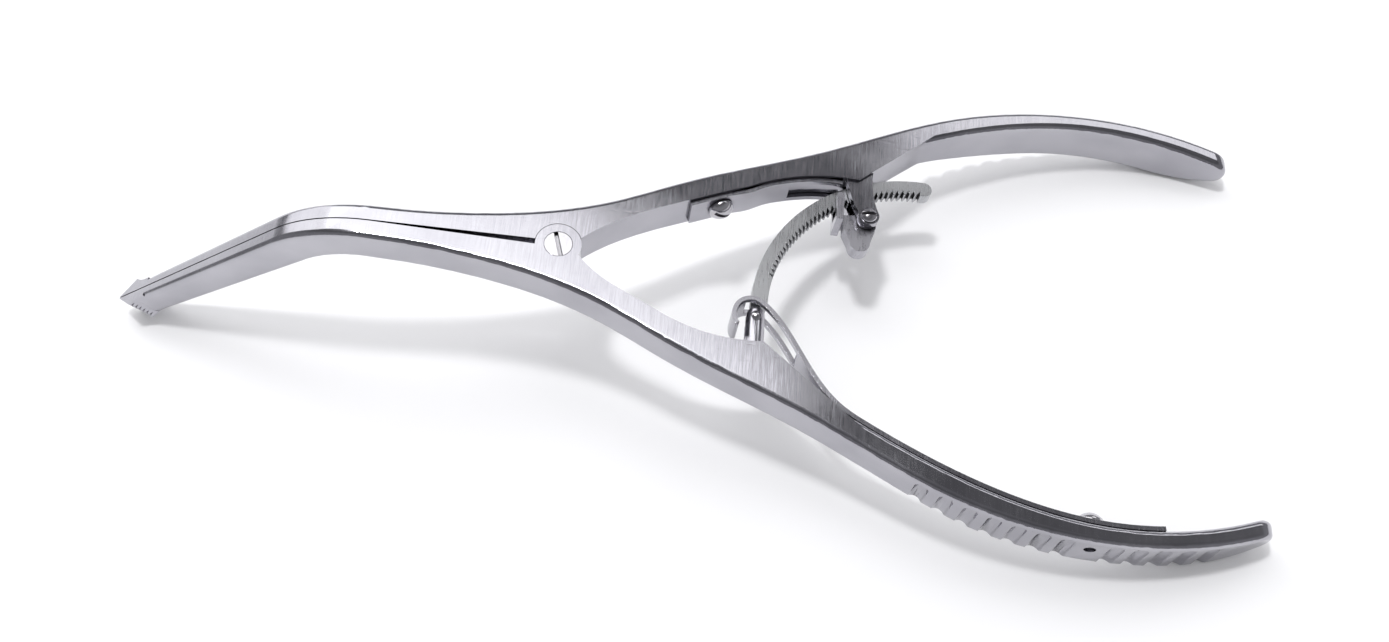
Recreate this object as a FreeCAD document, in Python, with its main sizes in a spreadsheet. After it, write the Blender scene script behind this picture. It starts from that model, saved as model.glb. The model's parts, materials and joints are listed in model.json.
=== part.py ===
import FreeCAD, Part
import math
import os
import Sketcher
from FreeCAD import Placement, Rotation, Vector

# Bone spreader: two mirrored arms on a flush pivot screw. Squeezing the bowed
# handles opens the bent jaws, and a toothed bar with a sprung catch holds them.
# Working frame of the sizes below: pivot at the origin, X towards the handles,
# Y towards the upper arm, Z along the pivot screw towards its slotted head.

SIZES = (
    # Arms
    ("arm_depth", 7.4, "height of both arms along the pivot axis"),
    ("arm_wall", 4.3, "arm width between the pivot and the handles"),
    ("handle_wall", 3.4, "width of the flat handle"),
    ("edge_round", 1.1, "rounding along the shoulders of the arms"),
    ("handle_depth", 9.3, "height of the handles"),
    ("flare_start", 56.0, "pivot to where the underside starts to drop"),
    ("flare_end", 84.0, "pivot to where the handle has its full height"),
    ("handle_reach", 125.1, "pivot to the end of the handles"),
    ("nose_radius", 3.0, "radius of the rounded handle end, seen from the side"),
    ("nose_run", 10.0, "length over which the underside rises to it"),
    ("end_reach", 128.0, "pivot to the outer station past the handle end"),
    ("end_width", 37.4, "half width there"),
    ("bow_reach", 95.4, "pivot to the widest place of the handles"),
    ("bow_width", 43.75, "half width of the bow"),
    ("swell_reach", 70.6, "pivot to the outer station before the bow"),
    ("swell_width", 39.1, "half width there"),
    ("boss_reach", 45.6, "pivot to the outer station at the bosses"),
    ("boss_width", 27.4, "half width there"),
    ("neck_reach", 20.8, "pivot to the outer station behind the pivot"),
    ("neck_width", 16.8, "half width there"),
    ("hip_reach", 8.3, "pivot to the outer station beside the pivot"),
    ("hip_width", 10.7, "half width there"),
    ("waist_reach", 16.6, "pivot to the slimmest place, on the jaw side"),
    ("waist_width", 4.5, "half width there"),
    # Jaws
    ("jaw_gap", 0.12, "half gap between the closed jaws"),
    ("jaw_relief", 0.55, "half gap beside the pivot"),
    ("jaw_root", 3.45, "half width of a jaw where the bend starts"),
    ("bend_start", 33.0, "pivot to the start of the bend"),
    ("jaw_side_end", 29.0, "pivot to the end of the jaw's straight side"),
    ("bend_radius", 24.7, "radius of the bend on top"),
    ("jaw_angle", 43.8, "angle of the bend"),
    ("jaw_straight", 49.0, "straight length of the jaw"),
    ("tip_depth", 5.4, "height of the jaw at its end"),
    ("tip_width", 2.1, "half width at its end"),
    ("barb_width", 2.96, "half width over the barb"),
    ("barb_back", 4.84, "set back of the barb from the point"),
    ("barb_flank", 4.2, "length of the hollow flank behind the barb"),
    ("tooth_pitch", 0.82, "pitch of the teeth on the barb"),
    ("tooth_cut", 0.5, "depth of the teeth on the barb"),
    # Pivot
    ("disc_radius", 4.07, "radius of the half-height discs"),
    ("lap_gap", 0.1, "clearance in the lapped joint"),
    ("head_radius", 2.48, "radius of the flush screw head"),
    ("head_depth", 1.7, "height of the screw head"),
    ("shank_radius", 1.5, "radius of the screw shank"),
    ("shank_short", 0.4, "how far the shank ends inside the arm"),
    ("run_fit", 0.05, "radial clearance of a turning fit"),
    ("seat_fit", 0.02, "radial clearance of a fixed fit"),
    ("slot_width", 0.7, "width of the screwdriver slots"),
    ("slot_cut", 0.7, "depth of the screwdriver slots"),
    ("slot_turn", 107.0, "turn of the pivot screw slot"),
    # Ratchet bar, hinged in the post on the lower arm
    ("post_x", 35.7, "pivot to the post"),
    ("pin_y", -8.2, "height of the hinge pin from the centre line"),
    ("post_radius", 1.75, "radius of the post"),
    ("post_seat", 3.0, "length of the post spigot in the boss"),
    ("spigot_radius", 1.2, "radius of the post spigot"),
    ("fork_gap", 1.5, "width of the fork in the post"),
    ("pin_radius", 0.6, "radius of the hinge pin"),
    ("pin_head", 0.95, "radius of the hinge pin heads"),
    ("pin_dome", 0.4, "height of the hinge pin heads"),
    ("bar_x", 65.2, "pivot to the centre of the bar's arc"),
    ("bar_y", -5.8, "height of the centre of the bar's arc"),
    ("bar_radius", 29.1, "radius of the bar's middle line"),
    ("bar_depth", 3.0, "height of the bar's section"),
    ("bar_width", 2.4, "width of the bar along the pivot axis"),
    ("bar_end", 89.2, "angle at which the bar ends"),
    ("bar_root", 179.6, "angle at which the full section starts"),
    ("tongue_width", 1.3, "width of the thinned end in the fork"),
    ("tongue_radius", 1.45, "radius of the eye round the pin"),
    ("rack_first", 90.7, "angle of the first tooth gap"),
    ("rack_pitch", 2.1, "angle from tooth to tooth"),
    ("rack_teeth", 37.0, "number of tooth gaps"),
    ("rack_cut", 0.8, "depth of the tooth gaps"),
    # Bosses on the inner edges
    ("post_boss_start", 16.0, "pivot to the start of the lower boss"),
    ("post_boss_edge", 37.0, "pivot to its step"),
    ("post_boss_rise", 14.2, "distance of its face from the centre line"),
    ("post_boss_end", 48.5, "pivot to the foot of its ramp"),
    ("catch_boss_start", 31.0, "pivot to the start of the upper boss"),
    ("catch_boss_edge", 52.9, "pivot to its step"),
    ("catch_boss_rise", 21.8, "distance of its face from the centre line"),
    ("catch_boss_end", 62.5, "pivot to the foot of its ramp"),
    # Guide ears and catch on the upper arm
    ("ear_left", 50.5, "pivot to the left edge of the ears"),
    ("ear_right", 56.4, "pivot to the right edge of the ears"),
    ("ear_waist", 0.9, "hollow of their sides"),
    ("ear_depth", 6.3, "width over both ears along the pivot axis"),
    ("ear_gap", 2.9, "gap between the ears"),
    ("ear_root", 4.0, "how far the ears reach into the arm"),
    ("ear_radius", 1.9, "radius of the ear round the catch screw"),
    ("window_gap", 0.62, "clearance of the bar in its window"),
    ("window_start", 98.0, "angle at which the window starts"),
    ("window_end", 128.0, "angle at which the window ends"),
    ("window_reach", 14.0, "how far the window is open below the bar"),
    ("catch_x", 54.9, "pivot to the catch screw"),
    ("catch_y", 14.6, "height of the catch screw"),
    ("catch_width", 2.4, "width of the catch between the ears"),
    ("catch_rest", 0.42, "clearance between the catch and the rack"),
    ("catch_bore", 0.8, "radius of the catch screw shank"),
    ("catch_head", 1.5, "radius of the catch screw head"),
    ("catch_dome", 0.9, "height of the catch screw head"),
    ("thumb_low", 7.8, "height of the end of the thumb tab"),
    ("thumb_tip", 1.9, "radius of the end of the thumb tab"),
    ("thumb_depth", 2.8, "width of the thumb tab along the pivot axis"),
    ("heel_x", 49.65, "pivot to the heels under the prongs of the upper spring"),
    ("heel_y", 18.5, "height of the heels"),
    ("heel_radius", 0.65, "radius of the heels"),
    ("yoke_low", 13.3, "underside of the yoke that carries the heels"),
    ("yoke_saddle", 14.9, "floor of the yoke, under the bar"),
    # Leaf springs
    ("leaf_thick", 0.8, "thickness of the leaf springs"),
    ("leaf_width", 6.0, "width of the leaf springs"),
    ("leaf_seat", 0.06, "gap between a leaf spring and its arm"),
    ("leaf_gap", 3.9, "width of the fork in the leaf springs"),
    ("low_leaf_screw", 93.8, "pivot to the lower spring screw"),
    ("low_leaf_tail", 106.0, "pivot to the tail of the lower spring"),
    ("low_leaf_lift", 50.5, "where the lower spring leaves its arm"),
    ("top_leaf_screw", 25.9, "pivot to the upper spring screw"),
    ("top_leaf_tail", 22.3, "pivot to the tail of the upper spring"),
    ("top_leaf_end", 50.0, "pivot to the ends of the upper spring's prongs"),
    ("top_leaf_fork", 40.3, "pivot to where its fork starts"),
    ("lift_off", 0.25, "extra gap where a leaf spring leaves its arm"),
    ("corner_reach", 2.6, "where the upper spring meets the faces beside the boss corner"),
    ("corner_lift", 0.14, "how far it stands off that corner"),
    ("leaf_screw_radius", 1.0, "radius of the spring screw shanks"),
    ("leaf_head_radius", 2.35, "radius of the spring screw heads"),
    ("leaf_dome", 2.0, "height of the spring screw heads"),
    ("head_gap", 0.1, "gap between a screw head and its curved spring"),
    # Grip grooves
    ("groove_pitch", 4.1, "distance between the grip grooves"),
    ("groove_radius", 1.25, "radius of the grip grooves"),
    ("groove_cut", 0.55, "depth of the grip grooves"),
    ("groove_top", 1.6, "height of their upper ends over the middle of the arm"),
)

doc = FreeCAD.newDocument("bone_spreader")
sheet = doc.addObject("Spreadsheet::Sheet", "sizes")
VALUE = {}
for row, (alias, number, note) in enumerate(SIZES, start=1):
    sheet.set("A%d" % row, alias)
    sheet.set("B%d" % row, str(number))
    sheet.set("C%d" % row, note)
    sheet.setAlias("B%d" % row, alias)
    VALUE[alias] = number
doc.recompute()


class Size:
    """The sheet's values by name."""

    def __getattr__(self, alias):
        return VALUE[alias]


z = Size()
HALF = z.arm_depth / 2
BETA = math.radians(z.jaw_angle)
PARTS = []


# Small helpers
def new_body(label):
    body = doc.addObject("PartDesign::Body", label)
    body.Label = label
    PARTS.append(body)
    return body


def plane(body, role):
    return [f for f in body.Origin.OriginFeatures if f.Role == role][0]


def new_sketch(body, name, role="XY_Plane", offset=None):
    sketch = body.newObject("Sketcher::SketchObject", name)
    sketch.AttachmentSupport = (plane(body, role), "")
    sketch.MapMode = "FlatFace"
    if offset is not None:
        sketch.AttachmentOffset = offset
    return sketch


def add_lines(sketch, points, closed=True):
    ends = list(points) + ([points[0]] if closed else [])
    for a, b in zip(ends, ends[1:]):
        sketch.addGeometry(Part.LineSegment(Vector(a[0], a[1], 0), Vector(b[0], b[1], 0)), False)


def add_circle(sketch, x, y, radius_alias, extra=""):
    """A circle whose radius follows the sheet."""
    radius = VALUE[radius_alias] + (VALUE[extra] if extra else 0.0)
    index = sketch.addGeometry(Part.Circle(Vector(x, y, 0), Vector(0, 0, 1), radius), False)
    number = sketch.addConstraint(Sketcher.Constraint("Radius", index, radius))
    formula = "sizes." + radius_alias + (" + sizes." + extra if extra else "")
    sketch.setExpression("Constraints[%d]" % number, formula)
    return index


def pad(body, sketch, formula, name, midplane=True, reverse=False):
    feature = body.newObject("PartDesign::Pad", name)
    feature.Profile = sketch
    feature.Midplane = midplane
    feature.Reversed = reverse
    feature.setExpression("Length", formula)
    doc.recompute()
    return feature


def pocket(body, sketch, formula, name, midplane=True, reverse=False):
    before = (body.Shape.Volume, len(body.Shape.Faces))
    feature = body.newObject("PartDesign::Pocket", name)
    feature.Profile = sketch
    feature.Midplane = midplane
    feature.Reversed = reverse
    feature.setExpression("Length", formula)
    doc.recompute()
    if body.Shape.Volume >= before[0] and len(body.Shape.Faces) == before[1]:
        raise RuntimeError("%s removes nothing" % name)
    return feature


def fillet_edges(body, radius_formula, name, wanted):
    """Round the edges of the body's last shape that a test picks."""
    base = body.Tip
    names = ["Edge%d" % n for n, e in enumerate(base.Shape.Edges, start=1) if wanted(e)]
    feature = body.newObject("PartDesign::Fillet", name)
    feature.Base = (base, names)
    feature.setExpression("Radius", radius_formula)
    doc.recompute()
    return feature


def spline(points):
    curve = Part.BSplineCurve()
    curve.interpolate([Vector(p[0], p[1], 0) for p in points])
    return curve


# Places along the bent jaw, seen from the side
BEND_CENTRE = Vector(-z.bend_start, 0, HALF - z.bend_radius)
ALONG_JAW = Vector(math.cos(BETA), 0, math.sin(BETA))
UP_JAW = Vector(-math.sin(BETA), 0, math.cos(BETA))
BEND_END = BEND_CENTRE + UP_JAW * z.bend_radius
JAW_TIP = BEND_END - ALONG_JAW * z.jaw_straight
JAW_HEEL = JAW_TIP - UP_JAW * z.tip_depth
TAPER = (z.tip_width - z.jaw_root) / (JAW_TIP.x + z.bend_start)


def jaw_width(x):
    """Half width over the straight outer sides of the jaws."""
    return z.jaw_root + TAPER * (x + z.bend_start)


# Outer edge of an arm, and the inner edge a wall's width inside it
def outer_curve(side=1):
    """Smooth outer edge that leaves the straight side of the jaw in line with it."""
    stations = (
        (-z.jaw_side_end, jaw_width(-z.jaw_side_end)),
        (-z.waist_reach, z.waist_width),
        (z.hip_reach, z.hip_width),
        (z.neck_reach, z.neck_width),
        (z.boss_reach, z.boss_width),
        (z.swell_reach, z.swell_width),
        (z.bow_reach, z.bow_width),
        (z.end_reach, z.end_width),
    )
    curve = Part.BSplineCurve()
    points = [Vector(x, side * y, 0) for x, y in stations]
    lines = [Vector(1, side * TAPER, 0) for _ in stations]
    only_first = [True] + [False] * (len(stations) - 1)
    curve.interpolate(Points=points, Tangents=lines, TangentFlags=only_first)
    return curve


OUTER = outer_curve()


def param_at(curve, x):
    low, high = curve.FirstParameter, curve.LastParameter
    for _ in range(50):
        middle = (low + high) / 2
        if curve.value(middle).x < x:
            low = middle
        else:
            high = middle
    return (low + high) / 2


def wall_at(x):
    share = (x - z.swell_reach) / (z.bow_reach - z.swell_reach)
    share = min(1.0, max(0.0, share))
    return z.arm_wall + (z.handle_wall - z.arm_wall) * share


def inner_point(x, extra=0.0):
    """Point of the inner edge opposite the outer edge at x, moved in by extra."""
    u = param_at(OUTER, x)
    p = OUTER.value(u)
    along = OUTER.tangent(u)[0]
    depth = wall_at(x) + extra
    return (p.x + along.y * depth, p.y - along.x * depth)


def mirrored(points, side):
    return [(p[0], side * p[1]) for p in points]


CROTCH = (z.disc_radius * math.cos(math.radians(24)), z.disc_radius * math.sin(math.radians(24)))


def boss_middle(start, edge, rise):
    """A point that gives a boss face its slight crown."""
    foot = inner_point(start)
    x = (foot[0] + edge) / 2
    return (x, (foot[1] + rise) / 2 + 0.08 * (edge - foot[0]))


def front_points(start):
    """Inner edge from the crotch to the foot of a boss."""
    stations = [z.hip_reach + 1.5, (z.hip_reach + start) / 2 + 1.0]
    if start > z.neck_reach:
        stations.append((z.neck_reach + start) / 2 + 1.0)
    return [CROTCH] + [inner_point(x) for x in stations + [start]]


def face_points(start, edge, rise):
    """Face of a boss, from its foot to its step."""
    return [inner_point(start), boss_middle(start, edge, rise), (edge, rise)]


def back_points(end):
    """Inner edge of the handle, behind the ramp of a boss."""
    late = z.bow_reach + 0.57 * (z.end_reach - z.bow_reach)
    stations = (end, (end + z.bow_reach) / 2, z.bow_reach, late, z.end_reach)
    return [inner_point(x) for x in stations]


def inner_pieces(start, edge, rise, end, side):
    """Curves of the inner edge from the crotch to the handle's end."""
    ramp = inner_point(end)
    back = back_points(end)
    pieces = [
        spline(mirrored(front_points(start), side)),
        spline(mirrored(face_points(start, edge, rise), side)),
        Part.LineSegment(Vector(edge, side * rise, 0), Vector(ramp[0], side * ramp[1], 0)),
        spline(mirrored(back, side)),
    ]
    return pieces, back[-1]


def above(curve, x, lift):
    """Point at x over an inner edge, lifted square to it towards the centre line."""
    u = param_at(curve, x)
    p = curve.value(u)
    along = curve.tangent(u)[0]
    return (p.x + along.y * lift, p.y - along.x * lift)


def arm_outline(side, boss):
    """Closed plan outline of an arm with its pivot disc."""
    tip_x = -(z.bend_start + z.bend_radius + z.jaw_straight) - 6
    gap_x = -math.sqrt(z.disc_radius ** 2 - z.jaw_relief ** 2)
    far_width = jaw_width(tip_x)
    side_end = (-z.jaw_side_end, side * jaw_width(-z.jaw_side_end))
    inner, inner_end = inner_pieces(*boss, side)
    low = [(tip_x, side * z.jaw_gap), (-z.bend_start, side * z.jaw_gap), (gap_x, side * z.jaw_relief)]
    pieces = [Part.LineSegment(Vector(*low[0], 0), Vector(*low[1], 0))]
    pieces.append(Part.LineSegment(Vector(*low[1], 0), Vector(*low[2], 0)))
    pieces.append(
        Part.Arc(
            Vector(*low[2], 0),
            Vector(0, -side * z.disc_radius, 0),
            Vector(CROTCH[0], side * CROTCH[1], 0),
        )
    )
    pieces += inner
    outer_end = Vector(z.end_reach, side * z.end_width, 0)
    pieces.append(Part.LineSegment(Vector(inner_end[0], side * inner_end[1], 0), outer_end))
    pieces.append(outer_curve(side))
    pieces.append(Part.LineSegment(Vector(*side_end, 0), Vector(tip_x, side * far_width, 0)))
    pieces.append(
        Part.LineSegment(Vector(tip_x, side * far_width, 0), Vector(tip_x, side * z.jaw_gap, 0))
    )
    return pieces


# Underside of the handle's rounded end: a small nose and a long arc that meets it
DEEP = HALF - z.handle_depth
NOSE = Vector(z.handle_reach - z.nose_radius, 0, HALF - z.nose_radius)
NOSE_RISE = NOSE.z - DEEP
RUN_RADIUS = (z.nose_run ** 2 + NOSE_RISE ** 2 - z.nose_radius ** 2) / (2 * (NOSE_RISE - z.nose_radius))
RUN_CENTRE = Vector(NOSE.x - z.nose_run, 0, DEEP + RUN_RADIUS)


def side_profile(sketch):
    """Side view of an arm: deep rounded handle, flat middle, then the bent jaw."""
    inner_radius = z.bend_radius - z.arm_depth
    under_end = BEND_CENTRE + UP_JAW * inner_radius
    mid = Vector(-math.sin(BETA / 2), 0, math.cos(BETA / 2))
    flat = lambda v: Vector(v.x, v.z, 0)
    line = lambda a, b: sketch.addGeometry(Part.LineSegment(flat(a), flat(b)), False)
    arc = lambda a, b, c: sketch.addGeometry(Part.Arc(flat(a), flat(b), flat(c)), False)
    top_start = Vector(-z.bend_start, 0, HALF)
    low_start = Vector(-z.bend_start, 0, -HALF)
    nose_top = NOSE + Vector(0, 0, z.nose_radius)
    line(nose_top, top_start)
    arc(top_start, BEND_CENTRE + mid * z.bend_radius, BEND_END)
    line(BEND_END, JAW_TIP)
    line(JAW_TIP, JAW_HEEL)
    line(JAW_HEEL, under_end)
    arc(under_end, BEND_CENTRE + mid * inner_radius, low_start)
    flare_start = Vector(z.flare_start, 0, -HALF)
    line(low_start, flare_start)
    half_run = (z.flare_end - z.flare_start) / 2
    half_drop = (z.handle_depth - z.arm_depth) / 2
    radius = (half_run ** 2 + half_drop ** 2) / (2 * half_drop)
    sag = radius - math.sqrt(radius ** 2 - (half_run / 2) ** 2)
    flare_middle = flare_start + Vector(half_run, 0, -half_drop)
    flare_end = Vector(z.flare_end, 0, DEEP)
    arc(flare_start, flare_start + Vector(half_run / 2, 0, -sag), flare_middle)
    arc(flare_middle, flare_end + Vector(-half_run / 2, 0, sag), flare_end)
    run_start = RUN_CENTRE - Vector(0, 0, RUN_RADIUS)
    line(flare_end, run_start)
    slant = (NOSE - RUN_CENTRE).normalize()
    halfway = (slant - Vector(0, 0, 1)).normalize()
    meet = NOSE + slant * z.nose_radius
    arc(run_start, RUN_CENTRE + halfway * RUN_RADIUS, meet)
    arc(meet, NOSE + Vector(z.nose_radius, 0, 0), nose_top)


def is_shoulder(edge):
    """True for the outer edge and the handle's inner edge on top, which run on below."""
    box = edge.BoundBox
    flat = box.ZLength < 1e-4 and abs(box.ZMin - HALF) < 1e-4
    outer = box.XMin < -z.waist_reach and box.XMax > z.bow_reach
    handle = box.XMax > z.bow_reach and box.XMin > z.boss_reach
    return flat and (outer or handle)


def jaw_tip(body, side):
    """Arrow-shaped end, barb and teeth of a jaw, cut square to the jaw."""
    turn = Rotation(Vector(0, 1, 0), -z.jaw_angle)
    place = Placement(JAW_TIP, turn)
    point = (0.0, z.jaw_gap)
    barb = (z.barb_back, z.barb_width)
    flank_x = z.barb_back + z.barb_flank
    shank = z.tip_width + (z.jaw_root - z.tip_width) * flank_x / z.jaw_straight * 0.8
    plate = new_sketch(body, body.Label + "_barb", "XY_Plane", place)
    foot = (flank_x, shank - 0.25)
    hollow = ((barb[0] + foot[0]) / 2 - 0.5, (barb[1] + foot[1]) / 2 - 0.28)
    add_lines(plate, mirrored([foot, (flank_x, point[1]), point, barb], side), closed=False)
    ends = mirrored([barb, hollow, foot], side)
    plate.addGeometry(Part.Arc(*[Vector(*p, 0) for p in ends]), False)
    pad(body, plate, "sizes.tip_depth", body.Label + "_barb_pad", midplane=False, reverse=True)
    slant = (barb[0] - point[0], barb[1] - point[1])
    near = (point[0] - 0.4 * slant[0], point[1] - 0.4 * slant[1])
    far = (barb[0] + 0.5 * slant[0], barb[1] + 0.5 * slant[1])
    away = 14.0
    cutter = new_sketch(body, body.Label + "_end", "XY_Plane", place)
    add_lines(cutter, mirrored([near, far, (far[0] - away, far[1]), (near[0] - away, near[1])], side))
    pocket(body, cutter, "4 * sizes.tip_depth", body.Label + "_end_cut")
    across = Rotation(Vector(1, 0, 0), -z.jaw_angle)
    middle = JAW_TIP + ALONG_JAW * z.barb_back
    base = Vector(0, middle.z, middle.x)
    teeth = new_sketch(body, body.Label + "_teeth", "YZ_Plane", Placement(base, across))
    count = int(z.tip_depth / z.tooth_pitch)
    for n in range(count):
        top = -(n + 0.22) * z.tooth_pitch
        rim = z.barb_width + 0.1
        notch = [(rim, top), (rim, top - 0.8 * z.tooth_pitch)]
        notch.append((z.barb_width - z.tooth_cut, top - 0.4 * z.tooth_pitch))
        add_lines(teeth, [(side * p[0], p[1]) for p in notch])
    pocket(body, teeth, "4 * sizes.tooth_cut", body.Label + "_teeth_cut")


def grip_grooves(body, side):
    """Half-round grooves in the outer face of a handle, below its top shoulder."""
    top = Placement(Vector(0, 0, z.groove_top), Rotation())
    sketch = new_sketch(body, body.Label + "_grooves", offset=top)
    for n in range(-7, 6):
        if n == 0:
            continue
        u = param_at(OUTER, z.low_leaf_screw + n * z.groove_pitch)
        p = OUTER.value(u)
        along = OUTER.tangent(u)[0]
        out = z.groove_radius - z.groove_cut
        add_circle(sketch, p.x - along.y * out, side * (p.y + along.x * out), "groove_radius")
    pocket(body, sketch, "2 * sizes.handle_depth", body.Label + "_groove_cut", midplane=False)


def face_place(x, side, lift=0.0):
    """Place on the inner face at x, with its Z axis out of the arm."""
    u = param_at(OUTER, x)
    along = OUTER.tangent(u)[0]
    p = inner_point(x, lift)
    normal = Vector(along.y, -side * along.x, 0)
    return Placement(Vector(p[0], side * p[1], 0), Rotation(Vector(0, 0, 1), normal))


def radial_hole(body, place, radius_alias, extra, length_formula, name):
    """Drill from a place on a face down its negative Z axis."""
    sketch = body.newObject("Sketcher::SketchObject", name + "_sketch")
    sketch.AttachmentSupport = (plane(body, "XY_Plane"), "")
    sketch.MapMode = "FlatFace"
    sketch.AttachmentOffset = place
    add_circle(sketch, 0, 0, radius_alias, extra)
    return pocket(body, sketch, length_formula, name, midplane=True)


def make_arm(label, side, boss):
    body = new_body(label)
    profile = new_sketch(body, label + "_side", "XZ_Plane")
    side_profile(profile)
    pad(body, profile, "2 * sizes.bow_width + 12", label + "_side_pad")
    frame = new_sketch(body, label + "_plan")
    wide = z.bow_width + 12
    left = -(z.bend_start + z.bend_radius + z.jaw_straight) - 12
    right = z.end_reach + 12
    add_lines(frame, [(left, -wide), (right, -wide), (right, wide), (left, wide)])
    for piece in arm_outline(side, boss):
        frame.addGeometry(piece, False)
    pocket(body, frame, "20 * sizes.arm_depth", label + "_plan_cut")
    fillet_edges(body, "sizes.edge_round", label + "_shoulders", is_shoulder)
    return body


def lap_cut(body, side):
    """Clear the other arm's disc out of the top or bottom half."""
    sketch = new_sketch(body, body.Label + "_lap", offset=Placement(Vector(0, 0, side * HALF), Rotation()))
    add_circle(sketch, 0, 0, "disc_radius", "lap_gap")
    formula = "sizes.arm_depth / 2 + sizes.lap_gap / 2"
    pocket(body, sketch, formula, body.Label + "_lap_cut", midplane=False, reverse=side < 0)


# Lower arm: the disc is on top and takes the screw head
def make_lower_arm():
    boss = (z.post_boss_start, z.post_boss_edge, z.post_boss_rise, z.post_boss_end)
    body = make_arm("lower_arm", -1, boss)
    lap_cut(body, -1)
    top = Placement(Vector(0, 0, HALF), Rotation())
    bore = new_sketch(body, "lower_arm_bore", offset=top)
    add_circle(bore, 0, 0, "shank_radius", "run_fit")
    pocket(body, bore, "sizes.arm_depth", "lower_arm_bore_cut", midplane=False)
    seat = new_sketch(body, "lower_arm_seat", offset=top)
    add_circle(seat, 0, 0, "head_radius", "run_fit")
    pocket(body, seat, "sizes.head_depth + sizes.run_fit", "lower_arm_seat_cut", midplane=False)
    place = Placement(Vector(z.post_x, -z.post_boss_rise, 0), Rotation(Vector(0, 0, 1), Vector(0, 1, 0)))
    radial_hole(body, place, "spigot_radius", "seat_fit", "2 * sizes.post_seat + 0.6", "post_hole")
    screw = face_place(z.low_leaf_screw, -1)
    radial_hole(body, screw, "leaf_screw_radius", "seat_fit", "6 * sizes.handle_wall", "low_leaf_hole")
    grip_grooves(body, -1)
    jaw_tip(body, -1)
    return body


# Upper arm: the disc is below, and two ears guide the ratchet bar
def bar_band(sketch, inner, outer, first, last):
    """Closed ring sector round the centre of the bar's arc."""
    centre = Vector(z.bar_x, z.bar_y, 0)
    at = lambda r, a: centre + Vector(math.cos(math.radians(a)), math.sin(math.radians(a)), 0) * r
    half_turn = (first + last) / 2
    sketch.addGeometry(Part.Arc(at(outer, first), at(outer, half_turn), at(outer, last)), False)
    sketch.addGeometry(Part.LineSegment(at(outer, last), at(inner, last)), False)
    sketch.addGeometry(Part.Arc(at(inner, last), at(inner, half_turn), at(inner, first)), False)
    sketch.addGeometry(Part.LineSegment(at(inner, first), at(outer, first)), False)


def make_upper_arm():
    boss = (z.catch_boss_start, z.catch_boss_edge, z.catch_boss_rise, z.catch_boss_end)
    body = make_arm("upper_arm", 1, boss)
    lap_cut(body, 1)
    bore = new_sketch(body, "upper_arm_bore")
    add_circle(bore, 0, 0, "shank_radius", "seat_fit")
    pocket(body, bore, "2 * sizes.arm_depth", "upper_arm_bore_cut")
    ears = new_sketch(body, "guide_ears")
    root = z.catch_boss_rise + z.ear_root
    foot_y = z.catch_y + 0.4
    waist_y = (root + foot_y) / 2
    left_root = Vector(z.ear_left, root, 0)
    right_root = Vector(z.ear_right, root + 2.0, 0)
    left_foot = Vector(z.catch_x - z.ear_radius, foot_y, 0)
    right_foot = Vector(z.catch_x + z.ear_radius, foot_y, 0)
    left_waist = Vector(z.ear_left + z.ear_waist, waist_y - 1.5, 0)
    right_waist = Vector(z.ear_right - z.ear_waist, waist_y, 0)
    low = Vector(z.catch_x, z.catch_y - z.ear_radius, 0)
    ears.addGeometry(Part.Arc(left_root, left_waist, left_foot), False)
    ears.addGeometry(Part.Arc(left_foot, low, right_foot), False)
    ears.addGeometry(Part.Arc(right_foot, right_waist, right_root), False)
    ears.addGeometry(Part.LineSegment(right_root, left_root), False)
    pad(body, ears, "sizes.ear_depth", "guide_ears_pad")
    window = new_sketch(body, "guide_window")
    outer = z.bar_radius + z.bar_depth / 2 + z.window_gap
    bar_band(window, z.bar_radius - z.window_reach, outer, z.window_start, z.window_end)
    pocket(body, window, "sizes.ear_gap", "guide_window_cut")
    pin = new_sketch(body, "catch_hole")
    add_circle(pin, z.catch_x, z.catch_y, "catch_bore", "seat_fit")
    pocket(body, pin, "2 * sizes.arm_depth", "catch_hole_cut")
    screw = face_place(z.top_leaf_screw, 1)
    radial_hole(body, screw, "leaf_screw_radius", "seat_fit", "1.4 * sizes.arm_wall", "top_leaf_hole")
    grip_grooves(body, 1)
    jaw_tip(body, 1)
    return body


# Screws and pins, turned about their own Z axis with the head on top
def dome_middle(radius, low, high):
    """Point halfway out on the arc of a dome that is level at its middle."""
    rise = high - low
    sphere = (radius ** 2 + rise ** 2) / (2 * rise)
    x = radius / 2
    return (x, high - sphere + math.sqrt(sphere ** 2 - x ** 2))


def make_screw(label, head_radius, dome, shank_radius, length, flat_head=False):
    body = new_body(label)
    sketch = new_sketch(body, label + "_profile", "XZ_Plane")
    if flat_head:
        points = [(0, -length), (shank_radius, -length), (shank_radius, -dome)]
        points += [(head_radius, -dome), (head_radius, 0), (0, 0)]
        add_lines(sketch, points)
    else:
        rim = 0.3 * dome
        points = [(0, dome), (0, -length), (shank_radius, -length), (shank_radius, 0)]
        points += [(head_radius, 0), (head_radius, rim)]
        add_lines(sketch, points, closed=False)
        half = dome_middle(head_radius, rim, dome)
        sketch.addGeometry(
            Part.Arc(Vector(head_radius, rim, 0), Vector(*half, 0), Vector(0, dome, 0)), False
        )
    turn = body.newObject("PartDesign::Revolution", label + "_turned")
    turn.Profile = sketch
    turn.ReferenceAxis = (sketch, ["V_Axis"])
    turn.Angle = 360
    doc.recompute()
    return body


def cut_slot(body, top, head_radius):
    place = Placement(Vector(0, 0, top), Rotation())
    sketch = new_sketch(body, body.Label + "_slot", offset=place)
    long_half = head_radius + 1.0
    wide_half = z.slot_width / 2
    corners = [(-long_half, -wide_half), (long_half, -wide_half)]
    corners += [(long_half, wide_half), (-long_half, wide_half)]
    add_lines(sketch, corners)
    pocket(body, sketch, "sizes.slot_cut", body.Label + "_slot_cut", midplane=False)


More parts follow.
